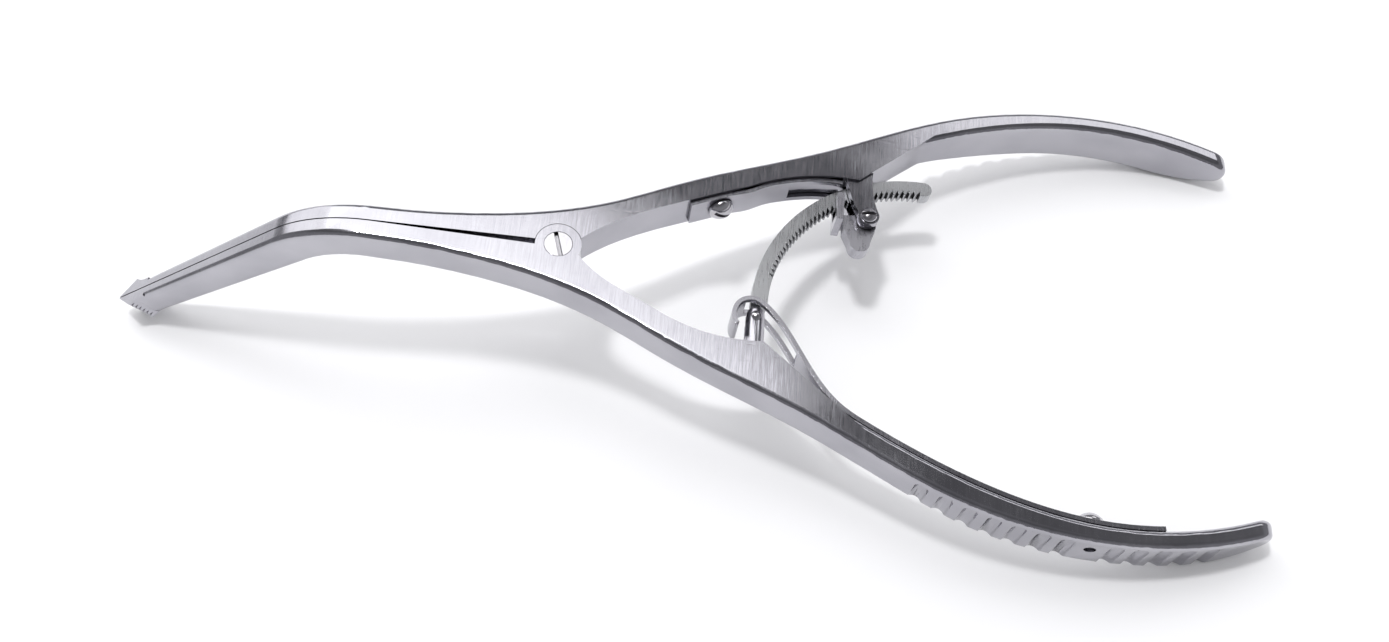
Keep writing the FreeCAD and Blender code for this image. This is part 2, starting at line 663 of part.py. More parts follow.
def make_pin(label):
    """Hinge pin with a small domed head on each side of the post."""
    body = new_body(label)
    reach = z.post_radius
    sketch = new_sketch(body, label + "_profile", "XZ_Plane")
    head, dome, radius = z.pin_head, z.pin_dome, z.pin_radius
    seat = reach + 0.04
    add_lines(sketch, [(0, -seat - dome), (0, seat + dome)], closed=False)
    top_mid = dome_middle(head, seat, seat + dome)
    sketch.addGeometry(
        Part.Arc(Vector(0, seat + dome, 0), Vector(*top_mid, 0), Vector(head, seat, 0)), False
    )
    add_lines(sketch, [(head, seat), (radius, seat), (radius, -seat), (head, -seat)], closed=False)
    sketch.addGeometry(
        Part.Arc(
            Vector(head, -seat, 0), Vector(top_mid[0], -top_mid[1], 0), Vector(0, -seat - dome, 0)
        ),
        False,
    )
    turn = body.newObject("PartDesign::Revolution", label + "_turned")
    turn.Profile = sketch
    turn.ReferenceAxis = (sketch, ["V_Axis"])
    turn.Angle = 360
    doc.recompute()
    return body


# Round post with a forked top, standing on the boss of the lower arm
def make_post():
    body = new_body("ratchet_post")
    rise = z.pin_y + z.post_boss_rise
    shaft = new_sketch(body, "post_shaft")
    add_circle(shaft, 0, 0, "post_radius")
    pad(body, shaft, "sizes.pin_y + sizes.post_boss_rise", "post_shaft_pad", midplane=False)
    spigot = new_sketch(body, "post_spigot")
    add_circle(spigot, 0, 0, "spigot_radius")
    pad(body, spigot, "sizes.post_seat", "post_spigot_pad", midplane=False, reverse=True)
    top = new_sketch(body, "post_top", "XZ_Plane")
    add_circle(top, 0, rise, "post_radius")
    pad(body, top, "2 * sizes.post_radius", "post_top_pad")
    trim = new_sketch(body, "post_trim")
    add_lines(trim, [(-9, -9), (9, -9), (9, 9), (-9, 9)])
    add_circle(trim, 0, 0, "post_radius")
    pocket(body, trim, "8 * sizes.post_radius + 2 * sizes.post_boss_rise", "post_trim_cut")
    fork = new_sketch(body, "post_fork", "YZ_Plane")
    half = z.fork_gap / 2
    floor = rise - z.tongue_radius - 0.3
    add_lines(fork, [(-half, floor), (half, floor), (half, rise + 4), (-half, rise + 4)])
    pocket(body, fork, "4 * sizes.post_radius", "post_fork_cut")
    eye = new_sketch(body, "post_eye", "XZ_Plane")
    add_circle(eye, 0, rise, "pin_radius", "seat_fit")
    pocket(body, eye, "4 * sizes.post_radius", "post_eye_cut")
    return body


# Ratchet bar, drawn about the centre of its arc
def make_bar():
    body = new_body("ratchet_bar")
    at = lambda r, a: Vector(r * math.cos(math.radians(a)), r * math.sin(math.radians(a)), 0)
    outer = z.bar_radius + z.bar_depth / 2
    inner = z.bar_radius - z.bar_depth / 2
    middle = (z.bar_end + z.bar_root) / 2
    band = new_sketch(body, "bar_band")
    band.addGeometry(Part.Arc(at(outer, z.bar_end), at(outer, middle), at(outer, z.bar_root)), False)
    band.addGeometry(Part.LineSegment(at(outer, z.bar_root), at(inner, z.bar_root)), False)
    band.addGeometry(Part.Arc(at(inner, z.bar_root), at(inner, middle), at(inner, z.bar_end)), False)
    nose = at(z.bar_radius, z.bar_end - math.degrees(z.bar_depth / 2 / z.bar_radius))
    band.addGeometry(Part.Arc(at(inner, z.bar_end), nose, at(outer, z.bar_end)), False)
    pad(body, band, "sizes.bar_width", "bar_band_pad")
    pin = Vector(z.post_x - z.bar_x, z.pin_y - z.bar_y, 0)
    root_in = at(inner + 0.2, z.bar_root - 1)
    root_out = at(outer - 0.2, z.bar_root - 1)
    tongue = new_sketch(body, "bar_tongue")
    left = pin - Vector(z.tongue_radius, 0, 0)
    right = pin + Vector(z.tongue_radius, 0, 0)
    low = pin - Vector(0, z.tongue_radius, 0)
    tongue.addGeometry(Part.Arc(left, low, right), False)
    add_lines(tongue, [(right.x, right.y), (root_in.x, root_in.y)], closed=False)
    add_lines(tongue, [(root_in.x, root_in.y), (root_out.x, root_out.y)], closed=False)
    add_lines(tongue, [(root_out.x, root_out.y), (left.x, left.y)], closed=False)
    pad(body, tongue, "sizes.tongue_width", "bar_tongue_pad")
    eye = new_sketch(body, "bar_eye")
    add_circle(eye, pin.x, pin.y, "pin_radius", "run_fit")
    pocket(body, eye, "2 * sizes.bar_width", "bar_eye_cut")
    gap = new_sketch(body, "rack_gap")
    steep = at(inner - 0.3, z.rack_first)
    bottom = at(inner + z.rack_cut, z.rack_first)
    crest = at(inner - 0.3, z.rack_first + z.rack_pitch)
    add_lines(gap, [(p.x, p.y) for p in (steep, bottom, crest)])
    first = pocket(body, gap, "2 * sizes.bar_width", "rack_gap_cut")
    rack = body.newObject("PartDesign::PolarPattern", "rack")
    rack.Originals = [first]
    rack.Axis = (plane(body, "Z_Axis"), [""])
    rack.setExpression("Angle", "sizes.rack_pitch * (sizes.rack_teeth - 1)")
    rack.setExpression("Occurrences", "sizes.rack_teeth")
    body.Tip = rack
    doc.recompute()
    return body


# Catch lever between the ears, with its tooth under the rack and a thumb tab
def make_catch():
    body = new_body("catch_lever")
    inner = z.bar_radius - z.bar_depth / 2 - z.catch_rest
    point_angle = 110.4
    tip = Vector(z.bar_x, z.bar_y, 0)
    tip += Vector(math.cos(math.radians(point_angle)), math.sin(math.radians(point_angle)), 0) * inner
    neck = new_sketch(body, "catch_neck")
    left_x = z.catch_x - 4.3
    right_x = z.catch_x + 1.75
    end_x = z.catch_x - 1.25
    low_y = z.thumb_low + z.thumb_tip
    outline = [
        (end_x - z.thumb_tip, low_y),
        (left_x, z.catch_y - 2.4),
        (left_x, z.catch_y + 0.75),
        (z.catch_x - 2.4, z.catch_y + 0.9),
        (tip.x - 1.9, tip.y - 1.55),
        (tip.x - 0.15, tip.y - 0.05),
        (tip.x, tip.y),
        (tip.x + 0.25, tip.y - 1.0),
        (right_x, z.catch_y + 0.6),
        (right_x, z.catch_y - 1.2),
        (end_x + z.thumb_tip, low_y),
    ]
    add_lines(neck, outline, closed=False)
    neck.addGeometry(
        Part.Arc(
            Vector(end_x + z.thumb_tip, low_y, 0),
            Vector(end_x, z.thumb_low, 0),
            Vector(end_x - z.thumb_tip, low_y, 0),
        ),
        False,
    )
    pad(body, neck, "sizes.catch_width", "catch_neck_pad")
    tab = new_sketch(body, "thumb_tab")
    top_y = z.catch_y - z.ear_radius - 0.35
    wide = [
        (end_x - z.thumb_tip, low_y),
        (left_x, z.catch_y - 2.4),
        (right_x - 0.3, top_y),
        (end_x + z.thumb_tip, low_y),
    ]
    add_lines(tab, wide, closed=False)
    tab.addGeometry(
        Part.Arc(
            Vector(end_x + z.thumb_tip, low_y, 0),
            Vector(end_x, z.thumb_low, 0),
            Vector(end_x - z.thumb_tip, low_y, 0),
        ),
        False,
    )
    pad(body, tab, "sizes.thumb_depth", "thumb_tab_pad")
    yoke = new_sketch(body, "catch_yoke")
    left, right = z.heel_x - z.heel_radius, z.heel_x + z.heel_radius
    heel_left, heel_right = Vector(left, z.heel_y, 0), Vector(right, z.heel_y, 0)
    heel_top = Vector(z.heel_x, z.heel_y + z.heel_radius, 0)
    yoke.addGeometry(Part.Arc(heel_right, heel_top, heel_left), False)
    sides = [(left, z.heel_y), (left, z.yoke_low), (right, z.yoke_low), (right, z.heel_y)]
    add_lines(yoke, sides, closed=False)
    pad(body, yoke, "sizes.leaf_width", "catch_yoke_pad")
    saddle = new_sketch(body, "catch_saddle")
    top = z.heel_y + 2 * z.heel_radius
    edge = (right + left_x) / 2
    corners = [(left - 1, z.yoke_saddle), (edge, z.yoke_saddle), (edge, top), (left - 1, top)]
    add_lines(saddle, corners)
    pocket(body, saddle, "sizes.ear_gap", "catch_saddle_cut")
    link = new_sketch(body, "catch_link")
    low, high = z.yoke_low + 0.1, z.yoke_saddle - 0.1
    near, far = z.heel_x, left_x + 0.5
    add_lines(link, [(near, low), (far, low), (far, high), (near, high)])
    pad(body, link, "sizes.catch_width", "catch_link_pad")
    bore = new_sketch(body, "catch_bore_hole")
    add_circle(bore, z.catch_x, z.catch_y, "catch_bore", "run_fit")
    pocket(body, bore, "2 * sizes.arm_depth", "catch_bore_cut")
    return body


# Leaf springs: a strip along a path, then its fork and its screw hole
def strip(sketch, path):
    """Closed outline of a strip of leaf_thick round a smooth path."""
    line = spline(path)
    count = 2 * len(path) - 1
    first, last = line.FirstParameter, line.LastParameter
    upper, lower = [], []
    for n in range(count):
        u = first + (last - first) * n / (count - 1)
        p = line.value(u)
        along = line.tangent(u)[0]
        across = Vector(-along.y, along.x, 0) * (z.leaf_thick / 2)
        upper.append(p + across)
        lower.append(p - across)
    sketch.addGeometry(spline([(p.x, p.y) for p in upper]), False)
    sketch.addGeometry(Part.LineSegment(upper[-1], lower[-1]), False)
    sketch.addGeometry(spline([(p.x, p.y) for p in reversed(lower)]), False)
    sketch.addGeometry(Part.LineSegment(lower[0], upper[0]), False)


def make_leaf(label, path, slot_box, screw_place):
    body = new_body(label)
    sketch = new_sketch(body, label + "_strip")
    strip(sketch, path)
    pad(body, sketch, "sizes.leaf_width", label + "_strip_pad")
    x0, y0, x1, y1 = slot_box
    fork = new_sketch(body, label + "_fork")
    add_lines(fork, [(x0, y0), (x1, y0), (x1, y1), (x0, y1)])
    pocket(body, fork, "sizes.leaf_gap", label + "_fork_cut")
    name = label + "_hole"
    radial_hole(body, screw_place, "leaf_screw_radius", "seat_fit", "6 * sizes.leaf_thick", name)
    return body


def make_low_leaf():
    rise = z.leaf_seat + z.leaf_thick / 2
    tail, lift = z.low_leaf_tail, z.low_leaf_lift
    back = spline(back_points(z.post_boss_end))
    path = [above(back, tail - (tail - lift) * n / 11, rise) for n in range(11)]
    path.append(above(back, lift, rise + z.lift_off))
    over = z.post_x
    path += [(over + 8.6, -z.pin_y + 8.1), (over + 5.4, -z.pin_y + 3.0), (over + 2.2, -z.pin_y - 0.9)]
    path += [(over - 1.0, -z.pin_y - 2.7), (over - 3.3, -z.pin_y - 1.6)]
    path += [(over - 4.0, -z.pin_y + 0.6), (over - 3.3, -z.pin_y + 2.6)]
    path = mirrored(path, -1)
    fork_end = over - z.post_radius - 0.25
    box = (fork_end, -z.bow_width, over + 7.6, 0)
    return make_leaf("lower_leaf_spring", path, box, face_place(z.low_leaf_screw, -1, rise))


def make_top_leaf():
    rise = z.leaf_seat + z.leaf_thick / 2
    front = spline(front_points(z.catch_boss_start))
    face = spline(face_points(z.catch_boss_start, z.catch_boss_edge, z.catch_boss_rise))
    foot = face.StartPoint.x
    path = [above(front, x, rise) for x in (z.top_leaf_tail, z.top_leaf_screw, foot - z.corner_reach)]
    path.append(above(face, foot + 0.1, rise + z.corner_lift))
    near = foot + z.corner_reach
    path += [above(face, near + (z.top_leaf_end - near) * n / 4, rise) for n in range(4)]
    path.append(above(face, z.top_leaf_end, rise + z.lift_off))
    box = (z.top_leaf_fork, 0, z.top_leaf_end + 3, z.catch_boss_rise + 3)
    return make_leaf("upper_leaf_spring", path, box, face_place(z.top_leaf_screw, 1, rise))


lower_arm = make_lower_arm()
upper_arm = make_upper_arm()
pivot_length = z.arm_depth - z.shank_short
pivot_screw = make_screw("pivot_screw", z.head_radius, z.head_depth, z.shank_radius, pivot_length, True)
cut_slot(pivot_screw, 0, z.head_radius)
ratchet_post = make_post()
hinge_pin = make_pin("ratchet_hinge_pin")
ratchet_bar = make_bar()
catch_lever = make_catch()
catch_length = z.ear_depth
catch_screw = make_screw("catch_screw", z.catch_head, z.catch_dome, z.catch_bore, catch_length)
cut_slot(catch_screw, z.catch_dome, z.catch_head)
low_leaf = make_low_leaf()
top_leaf = make_top_leaf()
low_length = z.leaf_thick + z.handle_wall - 0.8
top_length = z.leaf_thick + z.arm_wall / 2
low_screw = make_screw(
    "lower_spring_screw", z.leaf_head_radius, z.leaf_dome, z.leaf_screw_radius, low_length
)
cut_slot(low_screw, z.leaf_dome, z.leaf_head_radius)
top_screw = make_screw(
    "upper_spring_screw", z.leaf_head_radius, z.leaf_dome, z.leaf_screw_radius, top_length
)
cut_slot(top_screw, z.leaf_dome, z.leaf_head_radius)

# Resting place: the part lies on the long arcs under the handles and on both jaw heels
reach = RUN_CENTRE - JAW_HEEL
rise = math.atan2(reach.z, reach.x) - math.asin(RUN_RADIUS / reach.Length)
tilt = Rotation(Vector(0, 1, 0), math.degrees(rise))
head_lift = z.leaf_seat + z.leaf_thick + z.head_gap
seats = {
    pivot_screw: Placement(Vector(0, 0, HALF), Rotation(Vector(0, 0, 1), z.slot_turn)),
    ratchet_post: Placement(
        Vector(z.post_x, -z.post_boss_rise, 0),
        Rotation(Vector(1, 0, 0), Vector(0, 0, -1), Vector(0, 1, 0), "ZXY"),
    ),
    hinge_pin: Placement(Vector(z.post_x, z.pin_y, 0), Rotation()),
    ratchet_bar: Placement(Vector(z.bar_x, z.bar_y, 0), Rotation()),
    catch_screw: Placement(
        Vector(z.catch_x, z.catch_y, z.ear_depth / 2 + 0.03), Rotation(Vector(0, 0, 1), 5)
    ),
    low_screw: face_place(z.low_leaf_screw, -1, head_lift),
    top_screw: face_place(z.top_leaf_screw, 1, head_lift),
}
for part in PARTS:
    part.Placement = Placement(Vector(), tilt) * seats.get(part, Placement())
doc.recompute()
lowest = min(part.Shape.optimalBoundingBox().ZMin for part in PARTS)
left = min(part.Shape.optimalBoundingBox().XMin for part in PARTS)
right = max(part.Shape.optimalBoundingBox().XMax for part in PARTS)
stand = Placement(Vector(-(left + right) / 2, 0, -lowest), tilt)
for part in PARTS:
    part.Placement = stand * seats.get(part, Placement())
doc.recompute()

# Every object has to be sound before anything is written
for item in doc.Objects:
    if "Invalid" in item.State or "Error" in item.State:
        raise RuntimeError("%s is %s" % (item.Label, item.State))
for part in PARTS:
    if part.Shape.isNull() or not part.Shape.isValid():
        raise RuntimeError("%s has no valid shape" % part.Label)
os.makedirs("parts", exist_ok=True)
for part in PARTS:
    part.Shape.exportStep("parts/%s.step" % part.Label)
    box = part.Shape.optimalBoundingBox()
    print(
        "%-20s solids %d volume %8.1f  x %.1f..%.1f y %.1f..%.1f z %.1f..%.1f"
        % (
            part.Label,
            len(part.Shape.Solids),
            part.Shape.Volume,
            box.XMin,
            box.XMax,
            box.YMin,
            box.YMax,
            box.ZMin,
            box.ZMax,
        )
    )
print("pivot at", stand.Base, "axis", tilt.multVec(Vector(0, 0, 1)), "tilt", math.degrees(rise))
for name, point in (
    ("hinge pin", Vector(z.post_x, z.pin_y, 0)),
    ("catch screw", Vector(z.catch_x, z.catch_y, 0)),
):
    print(name, stand.multVec(point))
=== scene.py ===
# %% [markdown]
# A bone spreader is a hinged hand tool. Squeezing its bowed handles opens two bent
# jaws, and a toothed bar with a sprung catch holds them open. The real one is forged
# from stainless steel, ground to a satin, then polished along its edges.
#
# Each piece of the measured model arrives here at its place, in metres. This lesson
# gives the pieces soft edges, a steel that looks ground by hand, and quiet light.

# %% Load the measured model
import json
import math

import bmesh
import bpy
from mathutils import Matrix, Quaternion, Vector


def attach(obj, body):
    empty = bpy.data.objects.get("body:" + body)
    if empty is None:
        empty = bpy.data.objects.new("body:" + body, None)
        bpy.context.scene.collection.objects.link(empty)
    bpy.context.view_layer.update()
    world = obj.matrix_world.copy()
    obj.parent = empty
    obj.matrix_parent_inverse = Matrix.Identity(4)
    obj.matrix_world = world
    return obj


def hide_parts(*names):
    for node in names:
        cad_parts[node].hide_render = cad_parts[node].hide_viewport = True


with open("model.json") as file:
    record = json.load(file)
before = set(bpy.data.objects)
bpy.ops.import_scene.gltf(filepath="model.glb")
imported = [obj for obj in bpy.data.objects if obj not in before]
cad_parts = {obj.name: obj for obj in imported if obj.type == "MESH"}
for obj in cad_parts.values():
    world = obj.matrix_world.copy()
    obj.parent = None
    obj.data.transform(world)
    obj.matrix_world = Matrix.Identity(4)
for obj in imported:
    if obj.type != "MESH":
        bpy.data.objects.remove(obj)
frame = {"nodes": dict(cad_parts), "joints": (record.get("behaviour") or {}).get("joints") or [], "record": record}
bpy.context.view_layer.update()
nodes = frame["nodes"]
joints = {joint["name"]: joint for joint in frame["joints"]}
print("pieces:", ", ".join(sorted(nodes)))

MM = 0.001
MICRON = 0.001 * MM
PIVOT = Vector(joints["handle_squeeze"]["pos_m"])
PIVOT_AXIS = Vector(joints["handle_squeeze"]["axis"]).normalized()
ALONG = Vector((PIVOT_AXIS.z, 0, -PIVOT_AXIS.x))
LEAN = math.asin(PIVOT_AXIS.x)
print("the flat of the arms leans", round(math.degrees(LEAN), 2), "degrees")


# %% [markdown]
# A ground steel surface is not one grey. The belt is held across the arms and leaves
# fine lines there, handling leaves a few longer scratches, and the sheen changes slowly
# from place to place. All three come from noise on the piece's own coordinates. The
# lines are noise squeezed in one direction, so they never run along the arm.
#
# The shader is a metal with no paint on it. The lines change its roughness and its
# bump, the scratches its bump, and the slow patches its roughness and, a little, its
# colour. Slots, tooth gaps and joints get painted shade: the colour is darkened where
# a short ray out of the surface soon meets metal, as ambient occlusion finds it.

# %% Helpers that wire a material
def wire(tree, source, socket, target, name):
    """Link an output of one node to an input of another."""
    tree.links.new(source.outputs[socket], target.inputs[name])


def node(tree, kind, **values):
    """A new node with the numbers of its inputs set by name."""
    made = tree.nodes.new(kind)
    for name, value in values.items():
        made.inputs[name.replace("_", " ")].default_value = value
    return made


def stretched_noise(tree, place, stretch, scale, detail):
    """Noise whose grains are drawn out by the three numbers of stretch."""
    mapping = node(tree, "ShaderNodeMapping")
    mapping.inputs["Scale"].default_value = stretch
    mapping.inputs["Rotation"].default_value = (0, -LEAN, 0)
    wire(tree, place, "Object", mapping, "Vector")
    noise = node(tree, "ShaderNodeTexNoise", Scale=scale, Detail=detail)
    wire(tree, mapping, "Vector", noise, "Vector")
    return noise


def spread(tree, source, low, high, to_low, to_high, output=0):
    """Map an output of a node from one range to another."""
    mapped = node(
        tree, "ShaderNodeMapRange",
        From_Min=low, From_Max=high, To_Min=to_low, To_Max=to_high,
    )
    wire(tree, source, output, mapped, "Value")
    return mapped


def colour_mix(tree, **values):
    """A node that mixes two colours."""
    made = tree.nodes.new("ShaderNodeMix")
    made.data_type = "RGBA"
    for name, value in values.items():
        made.inputs[name].default_value = value
    return made


# %% The steel
ACROSS = (900.0, 40.0, 900.0)
PATCH_GRAIN = (60.0, 90.0, 90.0)
SCRATCH_GRAIN = (55.0, 420.0, 420.0)
LINE_ROUGHNESS = 0.05
LINE_HEIGHT = 30 * MICRON
SCRATCH_HEIGHT = 40 * MICRON
SCRATCH_SHARE = 0.6
# Reach and darkest level of the painted shade in slots, tooth gaps and joints.
PAINTED_SHADE_REACH = 0.9 * MM
PAINTED_SHADE_LEVEL = 0.22


def ground_steel(name, dark, light, smooth, rough, line_depth, lines=ACROSS):
    """Satin steel: two greys, two roughnesses, and the depth of the grinding lines."""
    material = bpy.data.materials.new(name)
    material.use_nodes = True
    tree = material.node_tree
    shader = tree.nodes["Principled BSDF"]
    shader.inputs["Metallic"].default_value = 1.0
    place = tree.nodes.new("ShaderNodeTexCoord")

    grinding = stretched_noise(tree, place, lines, 6.0, 4.0)
    patches = stretched_noise(tree, place, PATCH_GRAIN, 1.0, 3.0)
    scratches = stretched_noise(tree, place, SCRATCH_GRAIN, 3.0, 2.0)

    tint = colour_mix(tree, A=(*dark, 1), B=(*light, 1))
    share = spread(tree, patches, 0.35, 0.65, 0.0, 1.0)
    wire(tree, share, "Result", tint, "Factor")
    # Painted shade: ambient occlusion darkens the base colour where metal is close by, in slots, tooth gaps and
    # joints.
    crevice_occlusion = node(tree, "ShaderNodeAmbientOcclusion", Distance=PAINTED_SHADE_REACH)
    crevice_occlusion.samples = 4
    painted_shade = spread(tree, crevice_occlusion, 0.25, 0.8, PAINTED_SHADE_LEVEL, 1.0, "AO")
    tint_with_painted_shade = colour_mix(tree, Factor=1.0)
    tint_with_painted_shade.blend_type = "MULTIPLY"
    wire(tree, tint, "Result", tint_with_painted_shade, "A")
    wire(tree, painted_shade, "Result", tint_with_painted_shade, "B")
    wire(tree, tint_with_painted_shade, "Result", shader, "Base Color")

    sheen = spread(tree, patches, 0.3, 0.7, smooth, rough)
    fine = spread(tree, grinding, 0.3, 0.7, -LINE_ROUGHNESS, LINE_ROUGHNESS)
    total = tree.nodes.new("ShaderNodeMath")
    total.operation = "ADD"
    wire(tree, sheen, "Result", total, 0)
    wire(tree, fine, "Result", total, 1)
    wire(tree, total, "Value", shader, "Roughness")

    first = node(tree, "ShaderNodeBump", Strength=line_depth, Distance=LINE_HEIGHT)
    wire(tree, grinding, 0, first, "Height")
    ridges = spread(tree, scratches, 0.62, 0.72, 1.0, 0.0)
    second = node(
        tree, "ShaderNodeBump",
        Strength=line_depth * SCRATCH_SHARE, Distance=SCRATCH_HEIGHT,
    )
    wire(tree, ridges, "Result", second, "Height")
    wire(tree, first, "Normal", second, "Normal")
    wire(tree, second, "Normal", shader, "Normal")
    return material


STEELS = {
    "arm_steel": ground_steel(
        "satin_arm_steel", (0.39, 0.385, 0.42), (0.47, 0.465, 0.50), 0.13, 0.19, 0.08
    ),
    "screw_steel": ground_steel(
        "turned_screw_steel", (0.52, 0.51, 0.54), (0.62, 0.61, 0.64), 0.12, 0.20, 0.04,
        (700.0, 700.0, 100.0),
    ),
    "post_steel": ground_steel(
        "turned_post_steel", (0.42, 0.41, 0.45), (0.50, 0.49, 0.53), 0.16, 0.24, 0.05,
        (700.0, 60.0, 700.0),
    ),
    "bar_steel": ground_steel(
        "rack_bar_steel", (0.42, 0.425, 0.44), (0.48, 0.485, 0.50), 0.26, 0.32, 0.015
    ),
    "catch_steel": ground_steel(
        "catch_lever_steel", (0.38, 0.375, 0.41), (0.45, 0.445, 0.48), 0.26, 0.32, 0.015,
        (500.0, 60.0, 500.0),
    ),
    "spring_steel": ground_steel(
        "leaf_spring_steel", (0.38, 0.375, 0.41), (0.47, 0.465, 0.50), 0.18, 0.26, 0.05
    ),
}
print("steels:", ", ".join(STEELS))


# %% [markdown]
# No edge of a forged and polished tool is sharp: the polishing wheel rounds it, and
# that thin round is what catches the light. The measured pieces have sharp edges where
# two faces meet, so each one gets a copy with a fine bevel, and the copy stands in its
# place. Only edges that turn by more than 48 degrees are bevelled, so the facets of a
# curved face stay as they are. The normals are then weighted by area, which keeps the
# flats flat right up to the bevel.

# %% Helpers for meshes
JOIN_REACH = MICRON
FLAT_ANGLE = math.radians(0.5)
BEVEL_ANGLE = math.radians(48)
BEVEL_SEGMENTS = 3
CREASE_ANGLE = math.radians(40)
FLAT_WEIGHT = 90


def applied(piece, modifier):
    """Apply one modifier to a piece."""
    bpy.context.view_layer.update()
    graph = bpy.context.evaluated_depsgraph_get()
    result = bpy.data.meshes.new_from_object(piece.evaluated_get(graph))
    piece.modifiers.remove(modifier)
    piece.data = result


def cleaned_copy(name):
    """A node's mesh with its corners joined and its flat triangles merged."""
    mesh = nodes[name].data.copy()
    shape = bmesh.new()
    shape.from_mesh(mesh)
    bmesh.ops.remove_doubles(shape, verts=shape.verts, dist=JOIN_REACH)
    bmesh.ops.dissolve_limit(
        shape, angle_limit=FLAT_ANGLE, verts=shape.verts, edges=shape.edges
    )
    shape.to_mesh(mesh)
    shape.free()
    copy = bpy.data.objects.new(name + "_soft", mesh)
    bpy.context.scene.collection.objects.link(copy)
    return copy


def bevelled(piece, width):
    """Round the sharp edges of a piece."""
    bevel = piece.modifiers.new("edges", "BEVEL")
    bevel.width = width
    bevel.segments = BEVEL_SEGMENTS
    bevel.limit_method = "ANGLE"
    bevel.angle_limit = BEVEL_ANGLE
    bevel.use_clamp_overlap = True
    applied(piece, bevel)


def level_normals(piece):
    """Smooth shading in which large flat faces keep their own direction."""
    mesh = piece.data
    mesh.polygons.foreach_set("use_smooth", [True] * len(mesh.polygons))
    mesh.set_sharp_from_angle(angle=CREASE_ANGLE)
    weigh = piece.modifiers.new("normals", "WEIGHTED_NORMAL")
    weigh.mode = "FACE_AREA"
    weigh.weight = FLAT_WEIGHT
    weigh.keep_sharp = True
    applied(piece, weigh)


# %% [markdown]
# The grip is a row of scallops milled into the outside of each handle. A bump texture
# would leave the lower edge straight, so they are cut. The cutter is a ball-nosed bar,
# which gives every scallop a round top under the shoulder. A ray towards the handle
# finds its outer face at each mark, except where the spring screw comes through.
# Geometry Nodes sets one cutter on each mark, and the set is taken out of the arm.

# %% Grip scallops
SCALLOP_RADIUS = 1.35 * MM
SCALLOP_DEPTH = 0.95 * MM
SCALLOP_HEIGHT = 1.2 * MM
SCALLOP_FIRST = 65.1 * MM
SCALLOP_PITCH = 4.1 * MM
SCALLOP_COUNT = 13
SCREW_MARK = 7
CUTTER_LENGTH = 12 * MM
PROBE_HEIGHT = 2.2 * MM
PROBE_START = 60 * MM
EQUATOR = -10 * MICRON


def at_tool(x, y, height):
    """A point given along the arms, across them and up the pivot axis."""
    return PIVOT + ALONG * x + Vector((0, y, 0)) + PIVOT_AXIS * height


def scallop_marks(arm, side):
    """Centres of the cutters, set out from the handle's own outer face."""
    marks = []
    for n in range(SCALLOP_COUNT):
        if n == SCREW_MARK:
            continue
        start = at_tool(SCALLOP_FIRST + n * SCALLOP_PITCH, side * PROBE_START, PROBE_HEIGHT)
        hit, spot, normal, _ = arm.ray_cast(start, Vector((0, -side, 0)))
        if not hit:
            raise RuntimeError("no handle under mark %d" % n)
        out = (normal - PIVOT_AXIS * normal.dot(PIVOT_AXIS)).normalized()
        centre = spot + out * (SCALLOP_RADIUS - SCALLOP_DEPTH)
        marks.append(centre + PIVOT_AXIS * (SCALLOP_HEIGHT - PROBE_HEIGHT))
    return marks


def cutter_tree(material):
    """Node group: a ball-nosed cutter on every point."""
    tree = bpy.data.node_groups.new("grip_cutters", "GeometryNodeTree")
    face = tree.interface
    face.new_socket("Marks", in_out="INPUT", socket_type="NodeSocketGeometry")
    for label in ("Radius", "Length", "Lean"):
        face.new_socket(label, in_out="INPUT", socket_type="NodeSocketFloat")
    face.new_socket("Cutters", in_out="OUTPUT", socket_type="NodeSocketGeometry")
    entry = tree.nodes.new("NodeGroupInput")
    leave = tree.nodes.new("NodeGroupOutput")
    ball = node(tree, "GeometryNodeMeshUVSphere", Segments=32, Rings=16)
    wire(tree, entry, "Radius", ball, "Radius")
    where = tree.nodes.new("GeometryNodeInputPosition")
    split = tree.nodes.new("ShaderNodeSeparateXYZ")
    wire(tree, where, "Position", split, "Vector")
    below = tree.nodes.new("FunctionNodeCompare")
    below.operation = "LESS_THAN"
    wire(tree, split, "Z", below, "A")
    below.inputs["B"].default_value = EQUATOR
    down = tree.nodes.new("ShaderNodeMath")
    down.operation = "MULTIPLY"
    wire(tree, entry, "Length", down, 0)
    down.inputs[1].default_value = -1.0
    shift = tree.nodes.new("ShaderNodeCombineXYZ")
    wire(tree, down, "Value", shift, "Z")
    stretch = tree.nodes.new("GeometryNodeSetPosition")
    wire(tree, ball, "Mesh", stretch, "Geometry")
    wire(tree, below, "Result", stretch, "Selection")
    wire(tree, shift, "Vector", stretch, "Offset")
    lean = tree.nodes.new("ShaderNodeCombineXYZ")
    wire(tree, entry, "Lean", lean, "Y")
    place = tree.nodes.new("GeometryNodeInstanceOnPoints")
    wire(tree, entry, "Marks", place, "Points")
    wire(tree, stretch, "Geometry", place, "Instance")
    wire(tree, lean, "Vector", place, "Rotation")
    real = tree.nodes.new("GeometryNodeRealizeInstances")
    wire(tree, place, "Instances", real, "Geometry")
    finish = tree.nodes.new("GeometryNodeSetMaterial")
    finish.inputs["Material"].default_value = material
    wire(tree, real, "Geometry", finish, "Geometry")
    wire(tree, finish, "Geometry", leave, "Cutters")
    return tree


